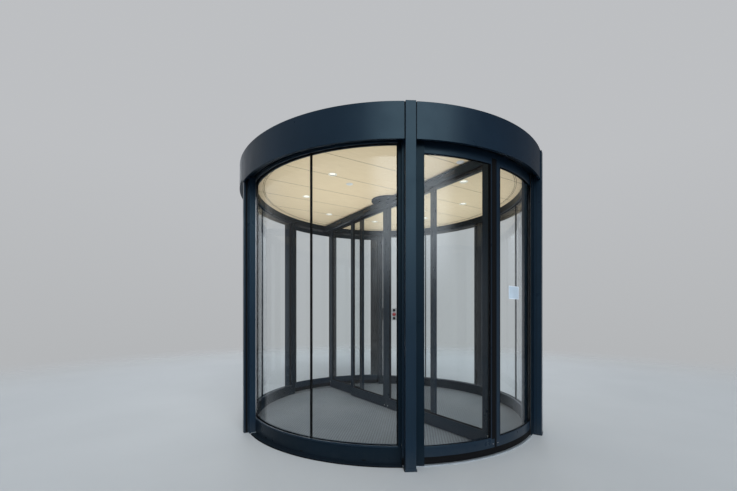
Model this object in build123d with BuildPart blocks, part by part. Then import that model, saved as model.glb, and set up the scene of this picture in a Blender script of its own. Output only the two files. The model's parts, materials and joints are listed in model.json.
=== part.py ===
from build123d import *
from math import cos, degrees, radians, sin
import os

# Two wing revolving door with a sliding centre section and curved closing doors.
# Millimetres, +Z up. The origin is on the floor, on the axis of the rotor.
# +X runs along the facade, -Y is outside and +Y is inside the building.
# Bearings are counted from +X towards +Y, so the front opening is at -90.

# Floor
floor_height = 10

# Curved walls
wall_inner_radius = 1795
wall_thickness = 73
wall_glass_thickness = 12
plinth_height = 142
wall_end_width = 72
wall_end_lap = 20
glass_joint_width = 16
glass_joint_depth = 20
glass_joint_bearing = 32.8

# Posts at the two openings
post_bearing = 27.6
post_depth = 87
post_width = 94
post_proud = 12
post_corner = 3
post_foot_height = 18
post_foot_edge = 6
jamb_gap = 6
jamb_depth = 13
jamb_reach = 88

# Posts that join the facade
facade_post_width = 69
facade_post_depth = 160
facade_tongue_depth = 60
facade_face_gap = 4

# Curved closing doors
curve_thickness = 30
curve_glass_thickness = 12
curve_overlap = 42
curve_stile = 60
curve_bottom = 65
curve_bottom_rail = 95
curve_front_top_rail = 97
curve_back_top_rail = 50
curve_meeting_gap = 3
curve_top_gap = 15
skirt_thickness = 20

# Track over the curved doors, and its hangers
track_width = 36
track_slot = 20
track_height = 45
track_wall = 5
track_lip = 6
hanger_thickness = 10
hanger_length = 120
hanger_inset = 90
carriage_width = 26
carriage_height = 26
seat_gap = 0.3

# Canopy
soffit_height = 2935
ceiling_rise = 83
ceiling_thickness = 12
downlight_radius = 45
downlight_count = 8
downlight_ring_radius = 1150
fascia_thickness = 8
fascia_drip_outside = 47
fascia_drip_inside = 8
fascia_gap = 8
fascia_joint = 4
roof_thickness = 8
roof_recess = 20
roof_gap = 16.7

# Rotor
rotor_turn = 4.5
rotor_gap = 5
brush_reach = 5
header_height = 88
header_width = 150
rotor_disc_radius = 226
rotor_disc_height = 13
rotor_clearance = 5

# Fixed wings
wing_inner_edge = 695
wing_thickness = 40
wing_offset = 50
wing_outer_stile = 95
wing_inner_stile = 65
wing_bottom_rail = 135
wing_bottom = 25
wing_glass_thickness = 12
wing_brush_thickness = 10

# Sliding leaves in the middle of the rotor
leaf_thickness = 40
leaf_length = 957
leaf_meeting_gap = 3
leaf_stile = 68
leaf_bottom_rail = 135
leaf_glass_thickness = 12
groove_side_gap = 5
groove_depth = 46
groove_lip = 6

# Bearing of the rotor
shaft_radius = 60
shaft_fit = 0.05
shaft_hole_gap = 6
collar_radius = 90
collar_height = 20
beam_width = 220
beam_height = 120
beam_seat = 40

# Worked out radii, from the rotor outwards
full_turn = 360
left, right = 180, 0
front, back = -90, 90
rotor_radius = wall_inner_radius - rotor_gap - brush_reach
wall_outer_radius = wall_inner_radius + wall_thickness
wall_glass_radius = wall_inner_radius + wall_thickness / 2
track_inner = wall_outer_radius + track_wall
curve_middle_radius = track_inner + track_width / 2
track_outer = curve_middle_radius + track_width / 2
jamb_inner_radius = curve_middle_radius + curve_thickness / 2 + jamb_gap
post_inner_radius = jamb_inner_radius + jamb_depth
post_middle_radius = post_inner_radius + post_depth / 2
post_outer_radius = post_inner_radius + post_depth
drum_radius = post_outer_radius - post_proud
fascia_inner_radius = drum_radius - fascia_thickness
facade_face_radius = fascia_inner_radius - facade_face_gap
facade_tongue_start = wall_outer_radius + facade_post_width

# Worked out heights, from the floor upwards
plinth_top = floor_height + plinth_height
curve_top = soffit_height - curve_top_gap
lip_top = soffit_height + track_lip
track_top = soffit_height + track_height
carriage_bottom = lip_top + seat_gap
ceiling_bottom = soffit_height + ceiling_rise
beam_bottom = ceiling_bottom + ceiling_thickness
beam_top = beam_bottom + beam_height
collar_bottom = beam_top + seat_gap
roof_bottom = collar_bottom + collar_height + roof_gap
drum_height = roof_bottom + roof_thickness + roof_recess
disc_top = ceiling_bottom - rotor_clearance
header_top = disc_top - rotor_disc_height
header_bottom = header_top - header_height


def angle_of(width, radius):
    """Degrees that a width takes up along a circle."""
    return degrees(width / radius)


def direction(bearing):
    """Unit vector of a bearing, as a tuple."""
    return (cos(radians(bearing)), sin(radians(bearing)), 0)


def radial_plane(bearing):
    """Upright plane through the axis: its x runs outwards and its y runs up."""
    return Plane(origin=(0, 0, 0), x_dir=direction(bearing), z_dir=direction(bearing - 90))


def level_plane(bearing, height):
    """Level plane whose x runs outwards along a bearing."""
    return Plane(origin=(0, 0, height), x_dir=direction(bearing), z_dir=(0, 0, 1))


def wing_plane(bearing, offset):
    """Upright plane along a wing: its x runs outwards along the wing's bearing."""
    side = direction(bearing - 90)
    return Plane(
        origin=(side[0] * offset, side[1] * offset, 0),
        x_dir=direction(bearing),
        z_dir=side,
    )


def curved_bar(inner, outer, bottom, top, start, end):
    """A bar of rectangular section that follows the drum from start to end."""
    with BuildPart() as bar:
        with BuildSketch(radial_plane(start)):
            with Locations(((inner + outer) / 2, (bottom + top) / 2)):
                Rectangle(outer - inner, top - bottom)
        revolve(axis=Axis.Z, revolution_arc=end - start)
    return bar.part


def save(part, name):
    """Labels a finished piece and writes its file."""
    part.label = name
    export_step(part, f"parts/{name}.step")


os.makedirs("parts", exist_ok=True)

post_bearings = {
    "front_left": front - post_bearing,
    "front_right": front + post_bearing,
    "back_right": back - post_bearing,
    "back_left": back + post_bearing,
}
wall_end_bearing = post_bearing + angle_of(wall_end_lap, wall_outer_radius)
wall_end_angle = angle_of(wall_end_width, wall_outer_radius)
half_wall = back - wall_end_bearing

# Floor: an aluminium ring with a mat inside it, cut out where the facade posts stand
with BuildPart() as floor_ring:
    with BuildSketch():
        Circle(post_inner_radius)
        Circle(wall_inner_radius, mode=Mode.SUBTRACT)
        facade_post_middle = (wall_outer_radius + facade_face_radius) / 2
        with Locations((-facade_post_middle, 0), (facade_post_middle, 0)):
            Rectangle(facade_face_radius - wall_outer_radius, facade_post_depth, mode=Mode.SUBTRACT)
    extrude(amount=floor_height)
save(floor_ring.part, "floor_ring")

with BuildPart() as floor_mat:
    with BuildSketch():
        Circle(wall_inner_radius)
    extrude(amount=floor_height)
save(floor_mat.part, "floor_mat")

# Posts: one at each side of both openings, from the floor to the top of the fascia
for name, bearing in post_bearings.items():
    with BuildPart() as post:
        with BuildSketch(level_plane(bearing, 0)):
            with Locations((post_middle_radius, 0)):
                Rectangle(post_depth, post_width)
        extrude(amount=drum_height)
        chamfer(post.edges().filter_by(Axis.Z), post_corner)
        with BuildSketch(level_plane(bearing, 0)):
            with Locations((post_middle_radius + post_foot_edge / 2, 0)):
                Rectangle(post_depth + post_foot_edge, post_width + 2 * post_foot_edge)
        extrude(amount=post_foot_height)
    save(post.part, f"post_{name}")

# Jambs: cover strips behind the posts that hide the edge of each curved door
with BuildPart() as jambs:
    for name, bearing in post_bearings.items():
        towards_opening = 1 if name in ("front_left", "back_right") else -1
        with BuildSketch(level_plane(bearing, floor_height)):
            with Locations((jamb_inner_radius + jamb_depth / 2, towards_opening * jamb_reach / 2)):
                Rectangle(jamb_depth, post_width + jamb_reach)
        extrude(amount=soffit_height - floor_height)
save(jambs.part, "door_jambs")

# Curved walls: plinths, end stiles, glass and the strips between the panes, under a head ring
for side_name, middle in (("left", left), ("right", right)):
    plinth = curved_bar(wall_inner_radius, wall_outer_radius, floor_height, plinth_top,
                        middle - half_wall, middle + half_wall)
    save(plinth, f"plinth_{side_name}")

with BuildPart() as head_ring:
    with BuildSketch(Plane.XY.offset(soffit_height)):
        Circle(wall_outer_radius)
        Circle(wall_inner_radius, mode=Mode.SUBTRACT)
    extrude(amount=ceiling_rise)
save(head_ring.part, "head_ring")

wall_glass_inner = wall_glass_radius - wall_glass_thickness / 2
wall_glass_outer = wall_glass_radius + wall_glass_thickness / 2
half_joint = angle_of(glass_joint_width / 2, wall_glass_radius)
pane_end = half_wall - wall_end_angle

with BuildPart() as end_stiles:
    for middle in (left, right):
        for start in (middle - half_wall, middle + pane_end):
            add(curved_bar(wall_inner_radius, wall_outer_radius, plinth_top, soffit_height,
                           start, start + wall_end_angle))
save(end_stiles.part, "wall_end_stiles")

with BuildPart() as glass_joints:
    for middle in (left, right):
        for bearing in (middle - glass_joint_bearing, middle, middle + glass_joint_bearing):
            add(curved_bar(wall_glass_radius - glass_joint_depth / 2, wall_glass_radius + glass_joint_depth / 2,
                           plinth_top, soffit_height, bearing - half_joint, bearing + half_joint))
save(glass_joints.part, "glass_joint_strips")

pane_edges = (
    (-pane_end, -glass_joint_bearing - half_joint),
    (-glass_joint_bearing + half_joint, -half_joint),
    (half_joint, glass_joint_bearing - half_joint),
    (glass_joint_bearing + half_joint, pane_end),
)
for side_name, middle in (("left", left), ("right", right)):
    with BuildPart() as panes:
        for near, far in pane_edges:
            add(curved_bar(wall_glass_inner, wall_glass_outer, plinth_top, soffit_height,
                           middle + near, middle + far))
    save(panes.part, f"wall_glass_{side_name}")

# Facade posts: on the facade line under the fascia, with a tongue for the facade's own glazing
for side_name, middle in (("left", left), ("right", right)):
    with BuildPart() as facade_post:
        with BuildSketch(level_plane(middle, 0)):
            with Locations((wall_outer_radius + facade_post_width / 2, 0)):
                Rectangle(facade_post_width, facade_post_depth)
            with Locations(((facade_tongue_start + facade_face_radius) / 2, 0)):
                Rectangle(facade_face_radius - facade_tongue_start, facade_tongue_depth)
        extrude(amount=soffit_height)
    save(facade_post.part, f"facade_post_{side_name}")

# Fascia: curved panels between the posts, deeper outside than inside the building
fascia_end = angle_of(post_width / 2 + fascia_gap, drum_radius)
half_fascia_joint = angle_of(fascia_joint / 2, drum_radius)


def fascia_panel(start, end, drip):
    """One curved panel, with its lower edge a drip's height under the soffit."""
    return curved_bar(fascia_inner_radius, drum_radius, soffit_height - drip, drum_height, start, end)


outside_spans = {
    "front": (front - post_bearing + fascia_end, front + post_bearing - fascia_end),
    "right": (front + post_bearing + fascia_end, right - half_fascia_joint),
    "left": (left + half_fascia_joint, front + full_turn - post_bearing - fascia_end),
}
inside_spans = (
    (right + half_fascia_joint, back - post_bearing - fascia_end),
    (back - post_bearing + fascia_end, back + post_bearing - fascia_end),
    (back + post_bearing + fascia_end, left - half_fascia_joint),
)
for name, (start, end) in outside_spans.items():
    save(fascia_panel(start, end, fascia_drip_outside), f"fascia_{name}")

with BuildPart() as inside_fascia:
    for start, end in inside_spans:
        add(fascia_panel(start, end, fascia_drip_inside))
save(inside_fascia.part, "fascia_inside")

# Canopy: soffit with the track of the curved doors, roof, ceiling, lamps and beam
slot_inner = curve_middle_radius - track_slot / 2
slot_outer = curve_middle_radius + track_slot / 2

with BuildPart() as soffit:
    with BuildSketch(Plane.XZ):
        with BuildLine():
            Polyline(
                (wall_outer_radius, soffit_height),
                (slot_inner, soffit_height),
                (slot_inner, lip_top),
                (track_inner, lip_top),
                (track_inner, track_top - track_wall),
                (track_outer, track_top - track_wall),
                (track_outer, lip_top),
                (slot_outer, lip_top),
                (slot_outer, soffit_height),
                (fascia_inner_radius, soffit_height),
                (fascia_inner_radius, lip_top),
                (track_outer + track_wall, lip_top),
                (track_outer + track_wall, track_top),
                (wall_outer_radius, track_top),
                close=True,
            )
        make_face()
    revolve(axis=Axis.Z)
    for bearing in post_bearings.values():
        with BuildSketch(level_plane(bearing, soffit_height)):
            with Locations((post_middle_radius, 0)):
                Rectangle(post_depth, post_width)
        extrude(amount=track_height, mode=Mode.SUBTRACT)
save(soffit.part, "soffit_ring")

with BuildPart() as roof:
    with BuildSketch(Plane.XY.offset(roof_bottom)):
        Circle(fascia_inner_radius)
        for bearing in post_bearings.values():
            with Locations(Location((0, 0, 0), (0, 0, bearing))):
                with Locations((post_middle_radius, 0)):
                    Rectangle(post_depth, post_width, mode=Mode.SUBTRACT)
    extrude(amount=roof_thickness)
save(roof.part, "roof_plate")

first_downlight = full_turn / downlight_count / 2
with BuildPart() as ceiling:
    with BuildSketch(Plane.XY.offset(ceiling_bottom)):
        Circle(wall_outer_radius)
        Circle(shaft_radius + shaft_hole_gap, mode=Mode.SUBTRACT)
        with PolarLocations(downlight_ring_radius, downlight_count, start_angle=first_downlight):
            Circle(downlight_radius, mode=Mode.SUBTRACT)
    extrude(amount=ceiling_thickness)
save(ceiling.part, "ceiling")

with BuildPart() as downlights:
    with BuildSketch(Plane.XY.offset(ceiling_bottom)):
        with PolarLocations(downlight_ring_radius, downlight_count, start_angle=first_downlight):
            Circle(downlight_radius)
    extrude(amount=ceiling_thickness)
save(downlights.part, "downlights")

with BuildPart() as beam:
    with BuildSketch(Plane.XY.offset(beam_bottom)):
        Rectangle(2 * (wall_inner_radius + beam_seat), beam_width)
        Circle(shaft_radius + shaft_fit, mode=Mode.SUBTRACT)
    extrude(amount=beam_height)
save(beam.part, "drive_beam")

# Rotor: a disc and shaft that hang it from the beam, and a header along both wings
with BuildPart() as hub:
    with BuildSketch(Plane.XY.offset(header_top)):
        Circle(rotor_disc_radius)
    extrude(amount=rotor_disc_height)
    with BuildSketch(Plane.XY.offset(disc_top)):
        Circle(shaft_radius)
    extrude(amount=collar_bottom - disc_top)
    with BuildSketch(Plane.XY.offset(collar_bottom)):
        Circle(collar_radius)
    extrude(amount=collar_height)
save(hub.part, "rotor_hub")

groove_width = leaf_thickness + 2 * groove_side_gap
groove_top = header_bottom + groove_depth
groove_lip_top = groove_top + groove_lip
channel_top = header_top - track_wall
with BuildPart() as header:
    with BuildSketch(radial_plane(rotor_turn)):
        with Locations((0, (header_bottom + header_top) / 2)):
            Rectangle(header_width, header_height)
        with Locations((0, header_bottom + groove_depth / 2)):
            Rectangle(groove_width, groove_depth, mode=Mode.SUBTRACT)
        with Locations((0, groove_top + groove_lip / 2)):
            Rectangle(track_slot, groove_lip, mode=Mode.SUBTRACT)
        with Locations((0, (groove_lip_top + channel_top) / 2)):
            Rectangle(track_width, channel_top - groove_lip_top, mode=Mode.SUBTRACT)
    extrude(amount=rotor_radius, both=True)
save(header.part, "rotor_header")

wing_bearings = {"back": back + rotor_turn, "front": front + rotor_turn}
wing_length = rotor_radius - wing_inner_edge
wing_height = header_bottom - wing_bottom
wing_middle = wing_inner_edge + wing_length / 2
wing_pane_length = wing_length - wing_inner_stile - wing_outer_stile
wing_pane_middle = wing_inner_edge + wing_inner_stile + wing_pane_length / 2
wing_pane_bottom = wing_bottom + wing_bottom_rail
wing_pane_height = header_bottom - wing_pane_bottom

for name, bearing in wing_bearings.items():
    with BuildPart() as wing:
        with BuildSketch(wing_plane(bearing, wing_offset - wing_thickness / 2)):
            with Locations((wing_middle, wing_bottom + wing_height / 2)):
                Rectangle(wing_length, wing_height)
            with Locations((wing_pane_middle, wing_pane_bottom + wing_pane_height / 2)):
                Rectangle(wing_pane_length, wing_pane_height, mode=Mode.SUBTRACT)
        extrude(amount=wing_thickness)
    save(wing.part, f"wing_{name}_frame")
    with BuildPart() as pane:
        with BuildSketch(wing_plane(bearing, wing_offset - wing_glass_thickness / 2)):
            with Locations((wing_pane_middle, wing_pane_bottom + wing_pane_height / 2)):
                Rectangle(wing_pane_length, wing_pane_height)
        extrude(amount=wing_glass_thickness)
    save(pane.part, f"wing_{name}_glass")

# Brushes along the tips and under the fixed wings
brush_drop = wing_bottom - floor_height - rotor_clearance
with BuildPart() as brushes:
    for bearing in wing_bearings.values():
        with BuildSketch(wing_plane(bearing, wing_offset - wing_brush_thickness / 2)):
            with Locations((rotor_radius + brush_reach / 2, wing_bottom + wing_height / 2)):
                Rectangle(brush_reach, wing_height)
            with Locations((wing_middle, wing_bottom - brush_drop / 2)):
                Rectangle(wing_length, brush_drop)
        extrude(amount=wing_brush_thickness)
save(brushes.part, "wing_brushes")

# Sliding leaves: two leaves that meet on the axis and hang in the header's track
leaf_top = groove_top - groove_side_gap
leaf_middle = leaf_meeting_gap + leaf_length / 2
leaf_pane_bottom = wing_bottom + leaf_bottom_rail
leaf_pane_height = header_bottom - leaf_pane_bottom
leaf_pane_length = leaf_length - 2 * leaf_stile
leaf_carriage_bottom = groove_lip_top + seat_gap
leaf_carriage_height = channel_top - groove_side_gap - leaf_carriage_bottom
hanger_offset = leaf_length / 2 - hanger_inset - hanger_length / 2
for name, bearing in wing_bearings.items():
    with BuildPart() as leaf:
        with BuildSketch(wing_plane(bearing, -leaf_thickness / 2)):
            with Locations((leaf_middle, (wing_bottom + leaf_top) / 2)):
                Rectangle(leaf_length, leaf_top - wing_bottom)
            with Locations((leaf_middle, leaf_pane_bottom + leaf_pane_height / 2)):
                Rectangle(leaf_pane_length, leaf_pane_height, mode=Mode.SUBTRACT)
        extrude(amount=leaf_thickness)
        for along in (leaf_middle - hanger_offset, leaf_middle + hanger_offset):
            with BuildSketch(wing_plane(bearing, -hanger_thickness / 2)):
                with Locations((along, (leaf_top + leaf_carriage_bottom) / 2)):
                    Rectangle(hanger_length, leaf_carriage_bottom - leaf_top)
            extrude(amount=hanger_thickness)
            with BuildSketch(wing_plane(bearing, -carriage_width / 2)):
                with Locations((along, leaf_carriage_bottom + leaf_carriage_height / 2)):
                    Rectangle(hanger_length, leaf_carriage_height)
            extrude(amount=carriage_width)
    save(leaf.part, f"sliding_leaf_{name}_frame")
    with BuildPart() as pane:
        with BuildSketch(wing_plane(bearing, -leaf_glass_thickness / 2)):
            with Locations((leaf_middle, leaf_pane_bottom + leaf_pane_height / 2)):
                Rectangle(leaf_pane_length, leaf_pane_height)
        extrude(amount=leaf_glass_thickness)
    save(pane.part, f"sliding_leaf_{name}_glass")

# Curved closing doors: two pairs that meet on the door axis and run outside the walls
curve_start = angle_of(curve_meeting_gap / 2, curve_middle_radius)
curve_end = wall_end_bearing + angle_of(curve_overlap, curve_middle_radius)
curve_stile_angle = angle_of(curve_stile, curve_middle_radius)
hanger_angle = angle_of(hanger_length, curve_middle_radius)
inset_angle = angle_of(hanger_inset, curve_middle_radius)
curve_pane_bottom = curve_bottom + curve_bottom_rail
skirt_bottom = floor_height + rotor_clearance
curved_doors = (
    ("front_left", front, -1, curve_front_top_rail),
    ("front_right", front, 1, curve_front_top_rail),
    ("back_right", back, -1, curve_back_top_rail),
    ("back_left", back, 1, curve_back_top_rail),
)


def door_bar(middle, sign, near, far, thickness, bottom, top):
    """Part of a curved door, counted in degrees from the door axis."""
    start, end = sorted((middle + sign * near, middle + sign * far))
    return curved_bar(curve_middle_radius - thickness / 2, curve_middle_radius + thickness / 2,
                      bottom, top, start, end)


for name, middle, sign, top_rail in curved_doors:
    curve_pane_top = curve_top - top_rail
    with BuildPart() as door:
        add(door_bar(middle, sign, curve_start, curve_end, curve_thickness, curve_bottom, curve_pane_bottom))
        add(door_bar(middle, sign, curve_start, curve_end, curve_thickness, curve_pane_top, curve_top))
        add(door_bar(middle, sign, curve_start, curve_start + curve_stile_angle, curve_thickness,
                     curve_pane_bottom, curve_pane_top))
        add(door_bar(middle, sign, curve_end - curve_stile_angle, curve_end, curve_thickness,
                     curve_pane_bottom, curve_pane_top))
        add(door_bar(middle, sign, curve_start, curve_end, skirt_thickness, skirt_bottom, curve_bottom))
        for near in (curve_start + inset_angle, curve_end - inset_angle - hanger_angle):
            add(door_bar(middle, sign, near, near + hanger_angle, hanger_thickness, curve_top, carriage_bottom))
            add(door_bar(middle, sign, near, near + hanger_angle, carriage_width,
                         carriage_bottom, carriage_bottom + carriage_height))
    save(door.part, f"curved_door_{name}_frame")
    pane = door_bar(middle, sign, curve_start + curve_stile_angle, curve_end - curve_stile_angle,
                    curve_glass_thickness, curve_pane_bottom, curve_pane_top)
    save(pane, f"curved_door_{name}_glass")
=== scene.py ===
import json
from math import ceil, cos, degrees, pi, radians, sin

import bmesh
import bpy
from mathutils import Matrix, Vector


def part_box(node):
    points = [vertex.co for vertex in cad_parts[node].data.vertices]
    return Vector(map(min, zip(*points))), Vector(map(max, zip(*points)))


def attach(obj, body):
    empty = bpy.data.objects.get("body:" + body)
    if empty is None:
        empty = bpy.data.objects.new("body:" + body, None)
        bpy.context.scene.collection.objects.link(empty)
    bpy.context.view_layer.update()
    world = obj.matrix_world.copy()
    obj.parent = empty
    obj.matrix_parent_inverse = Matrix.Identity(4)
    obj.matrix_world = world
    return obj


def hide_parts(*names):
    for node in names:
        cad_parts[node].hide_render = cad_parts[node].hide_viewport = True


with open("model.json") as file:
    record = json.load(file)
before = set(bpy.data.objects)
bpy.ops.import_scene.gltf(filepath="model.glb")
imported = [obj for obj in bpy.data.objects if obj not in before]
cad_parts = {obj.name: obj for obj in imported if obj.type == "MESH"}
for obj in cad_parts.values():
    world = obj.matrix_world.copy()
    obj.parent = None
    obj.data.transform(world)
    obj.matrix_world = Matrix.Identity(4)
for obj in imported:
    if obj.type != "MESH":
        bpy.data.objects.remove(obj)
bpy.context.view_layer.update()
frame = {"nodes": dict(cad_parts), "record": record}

# Places read from the frame
floor_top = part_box("floor_mat")[1].z
wall_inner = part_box("floor_mat")[1].x
wall_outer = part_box("head_ring")[1].x
plinth_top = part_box("plinth_left")[1].z
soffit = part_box("wall_end_stiles")[1].z
ceiling_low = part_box("ceiling")[0].z
roof_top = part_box("roof_plate")[1].z
drum_radius = -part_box("fascia_left")[0].x
drum_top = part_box("fascia_left")[1].z
fascia_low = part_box("fascia_left")[0].z
inside_fascia_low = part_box("fascia_inside")[0].z
wing_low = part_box("wing_back_frame")[0].z
header_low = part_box("rotor_header")[0].z
header_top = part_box("rotor_header")[1].z
disc_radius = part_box("rotor_hub")[1].x
pane_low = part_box("wing_back_glass")[0].z
door_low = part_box("curved_door_front_left_frame")[0].z

# Places that the frame's boxes don't give
left, right, front, back = 180, 0, -90, 90
wall_glass_middle = 1.8315
half_glass = 0.006
pane_end = 59.58
wall_end = 61.79
glass_joint = 32.8
half_joint = 0.25
post_bearing = 27.6
post_inner = 1.925
post_outer = 2.012
half_post = 0.047
jamb_inner = 1.912
door_middle = 1.891
half_door = 0.015
door_start = 0.045
door_end = 29.49
door_stile_angle = 1.818
fascia_inner = drum_radius - 0.008
rotor_turn = 4.5
rotor_radius = 1.785
wing_start = 0.695
wing_offset = -0.050
half_wing = 0.020
wing_pane = (0.760, 1.690)
leaf_span = (0.003, 0.960)
leaf_pane = (0.071, 0.892)
half_leaf = 0.020
half_header = 0.075
ring_inner_edge = 1.803
lamp_ring = 1.150
lamp_count = 8

# Seals and small parts
arc_step = 1.5
gasket_width = 0.007
gasket_height = 0.013
bead_height = 0.012
side_gasket = gasket_height * 0.8
rubber_skin = 0.0012
seal_rise = 0.0012
screw_radius = 0.005
apron_top = 0.077
lock_height = 0.121
ceiling_groove = 1.700

# Each corner of the drum: the bearing of its opening's middle, and the way round from there
corners = {
    "front_left": (front, -1),
    "front_right": (front, 1),
    "back_right": (back, -1),
    "back_left": (back, 1),
}
post_bearings = [middle + side * post_bearing for middle, side in corners.values()]
wings = {"back": back + rotor_turn, "front": front + rotor_turn}


# Meshes

def sweep(bm, outline, start, end):
    """Sweeps a closed outline of (radius, height) points about the axis, between two bearings."""
    full = end - start >= 360
    steps = max(1, ceil((end - start) / arc_step))
    rings = []
    for i in range(steps if full else steps + 1):
        angle = radians(start + (end - start) * i / steps)
        rings.append([bm.verts.new((r * cos(angle), r * sin(angle), z)) for r, z in outline])
    for i in range(steps):
        join_rings(bm, rings[i], rings[(i + 1) % len(rings)])
    if not full:
        bm.faces.new(rings[0])
        bm.faces.new(rings[-1])


def join_rings(bm, one, two):
    """Four sided faces between two rings of as many points."""
    for i in range(len(one)):
        j = (i + 1) % len(one)
        bm.faces.new((one[i], two[i], two[j], one[j]))


def prism(bm, outline, place, length):
    """Pushes a closed outline of (x, y) points along z of a placement."""
    rings = [[bm.verts.new(place @ Vector((x, y, z))) for x, y in outline] for z in (0, length)]
    join_rings(bm, *rings)
    for ring in rings:
        bm.faces.new(ring)


def lathe(bm, profile, place, segments=24):
    """Turns (radius, height) points about z of a placement; both ends lie on its axis."""
    ends = [bm.verts.new(place @ Vector((0, 0, profile[i][1]))) for i in (0, -1)]
    angles = [2 * pi * i / segments for i in range(segments)]
    rings = []
    for radius, height in profile[1:-1]:
        points = [Vector((radius * cos(a), radius * sin(a), height)) for a in angles]
        rings.append([bm.verts.new(place @ point) for point in points])
    for one, two in zip(rings, rings[1:]):
        join_rings(bm, one, two)
    for tip, ring in zip(ends, (rings[0], rings[-1])):
        for i in range(segments):
            bm.faces.new((tip, ring[i], ring[(i + 1) % segments]))


def rim(bm, place, x_span, z_span, profile):
    """Mitred frame in an upright plane: (inset, rise) points go round a rectangle."""
    rings = []
    for x_end, z_end in ((0, 0), (1, 0), (1, 1), (0, 1)):
        ring = []
        for inset, rise in profile:
            x = x_span[x_end] + (-inset if x_end else inset)
            z = z_span[z_end] + (-inset if z_end else inset)
            ring.append(bm.verts.new(place @ Vector((x, rise, z))))
        rings.append(ring)
    for i in range(4):
        join_rings(bm, rings[i], rings[(i + 1) % 4])


def rounded(width, height, corner, steps=3):
    """Outline of a rectangle about the origin with round corners."""
    points = []
    for quarter, (sx, sy) in enumerate(((1, 1), (-1, 1), (-1, -1), (1, -1))):
        for i in range(steps + 1):
            angle = radians(90 * (quarter + i / steps))
            points.append((sx * (width / 2 - corner) + corner * cos(angle),
                           sy * (height / 2 - corner) + corner * sin(angle)))
    return points


def reach(middle, side, near, far):
    """Two bearings or lengths at one side of a middle one, the lower first."""
    return sorted((middle + side * near, middle + side * far))


def block(x_span, z_span):
    """Outline of a plain rectangle between two spans."""
    (x0, x1), (z0, z1) = x_span, z_span
    return [(x0, z0), (x1, z0), (x1, z1), (x0, z1)]


def turned(bearing):
    """Placement whose x runs out along a bearing, with z up."""
    return Matrix.Rotation(radians(bearing), 4, "Z")


def facing_out(bearing, radius, height, shift=0.0):
    """Placement on an upright face: z points away from the axis and y up; x is the shift's way."""
    turn = turned(bearing)
    across = Matrix(((0, 0, 1, 0), (1, 0, 0, 0), (0, 1, 0, 0), (0, 0, 0, 1)))
    return turn @ Matrix.Translation((radius, shift, height)) @ across


def facing_up(bearing, radius, height):
    """Placement on a level face, with z up."""
    return turned(bearing) @ Matrix.Translation((radius, 0, height))


def facing_down(bearing, radius, height):
    """Placement under a level face, with z down."""
    return facing_up(bearing, radius, height) @ Matrix.Rotation(pi, 4, "X")


def make_piece(name, body, material, build):
    """One object with the mesh that a function fills; it rides on a CAD body."""
    bm = bmesh.new()
    build(bm)
    bmesh.ops.recalc_face_normals(bm, faces=bm.faces)
    mesh = bpy.data.meshes.new(name)
    bm.to_mesh(mesh)
    bm.free()
    mesh.shade_smooth()
    mesh.set_sharp_from_angle(angle=radians(30))
    mesh.materials.append(material)
    piece = bpy.data.objects.new(name, mesh)
    bpy.context.scene.collection.objects.link(piece)
    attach(piece, body)
    return piece


# Materials

def add_node(tree, kind, inputs=None, **settings):
    """A new shader node; each input gets a value or the socket that feeds it."""
    made = tree.nodes.new("ShaderNode" + kind)
    for key, value in settings.items():
        setattr(made, key, value)
    for key, value in (inputs or {}).items():
        if isinstance(value, bpy.types.NodeSocket):
            tree.links.new(value, made.inputs[key])
        else:
            made.inputs[key].default_value = value
    return made


def noise(tree, vector, scale, detail=3.0):
    """Noise between 0 and 1."""
    made = add_node(tree, "TexNoise", {"Vector": vector, "Scale": scale, "Detail": detail})
    return made.outputs["Fac"]


def spread(tree, value, low, high, from_low=0.3, from_high=0.7, kind="LINEAR"):
    """A value of a pattern, spread over a wanted range."""
    made = add_node(tree, "MapRange", {"Value": value, "From Min": from_low, "From Max": from_high,
                                       "To Min": low, "To Max": high}, interpolation_type=kind)
    return made.outputs["Result"]


def number_math(tree, operation, one, two):
    """One operation on two numbers or their sockets."""
    return add_node(tree, "Math", {0: one, 1: two}, operation=operation).outputs[0]


def vector_math(tree, operation, *vectors):
    """One operation on vectors; a length and a dot product are numbers."""
    made = add_node(tree, "VectorMath", dict(enumerate(vectors)), operation=operation)
    return made.outputs["Value" if operation in ("LENGTH", "DOT_PRODUCT") else "Vector"]


def shades(tree, value, *stops):
    """Colours along a value: each stop is (place, colour)."""
    made = add_node(tree, "ValToRGB", {"Fac": value})
    ramp = made.color_ramp
    while len(ramp.elements) < len(stops):
        ramp.elements.new(0.5)
    for element, (place, colour) in zip(ramp.elements, stops):
        element.position = place
        element.color = (*colour, 1)
    return made.outputs["Color"]


def blend_colours(tree, factor, one, two):
    """Colour one where the factor is 0 and two where it is 1."""
    made = add_node(tree, "MixRGB", {"Fac": factor, "Color1": one, "Color2": two})
    return made.outputs["Color"]


def bump(tree, height, strength, distance, normal=None):
    """Relief of a pattern, on top of another normal."""
    inputs = {"Height": height, "Strength": strength, "Distance": distance}
    if normal is not None:
        inputs["Normal"] = normal
    return add_node(tree, "Bump", inputs).outputs["Normal"]


def scaled(colour, factor):
    """A colour made lighter or darker."""
    return tuple(min(1, channel * factor) for channel in colour)


def start_material(name, roughness, metallic=0.0):
    """A material with its shader, and the place that its patterns are laid out on."""
    material = bpy.data.materials.new(name)
    material.use_nodes = True
    tree = material.node_tree
    shader = tree.nodes["Principled BSDF"]
    shader.inputs["Roughness"].default_value = roughness
    shader.inputs["Metallic"].default_value = metallic
    place = add_node(tree, "TexCoord").outputs["Object"]
    return material, tree, shader, place


def feed(tree, shader, **sockets):
    """Links patterns to the shader's sockets: colour, roughness and normal."""
    names = {"colour": "Base Color", "roughness": "Roughness", "normal": "Normal"}
    for key, socket in sockets.items():
        tree.links.new(socket, shader.inputs[names[key]])


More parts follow.
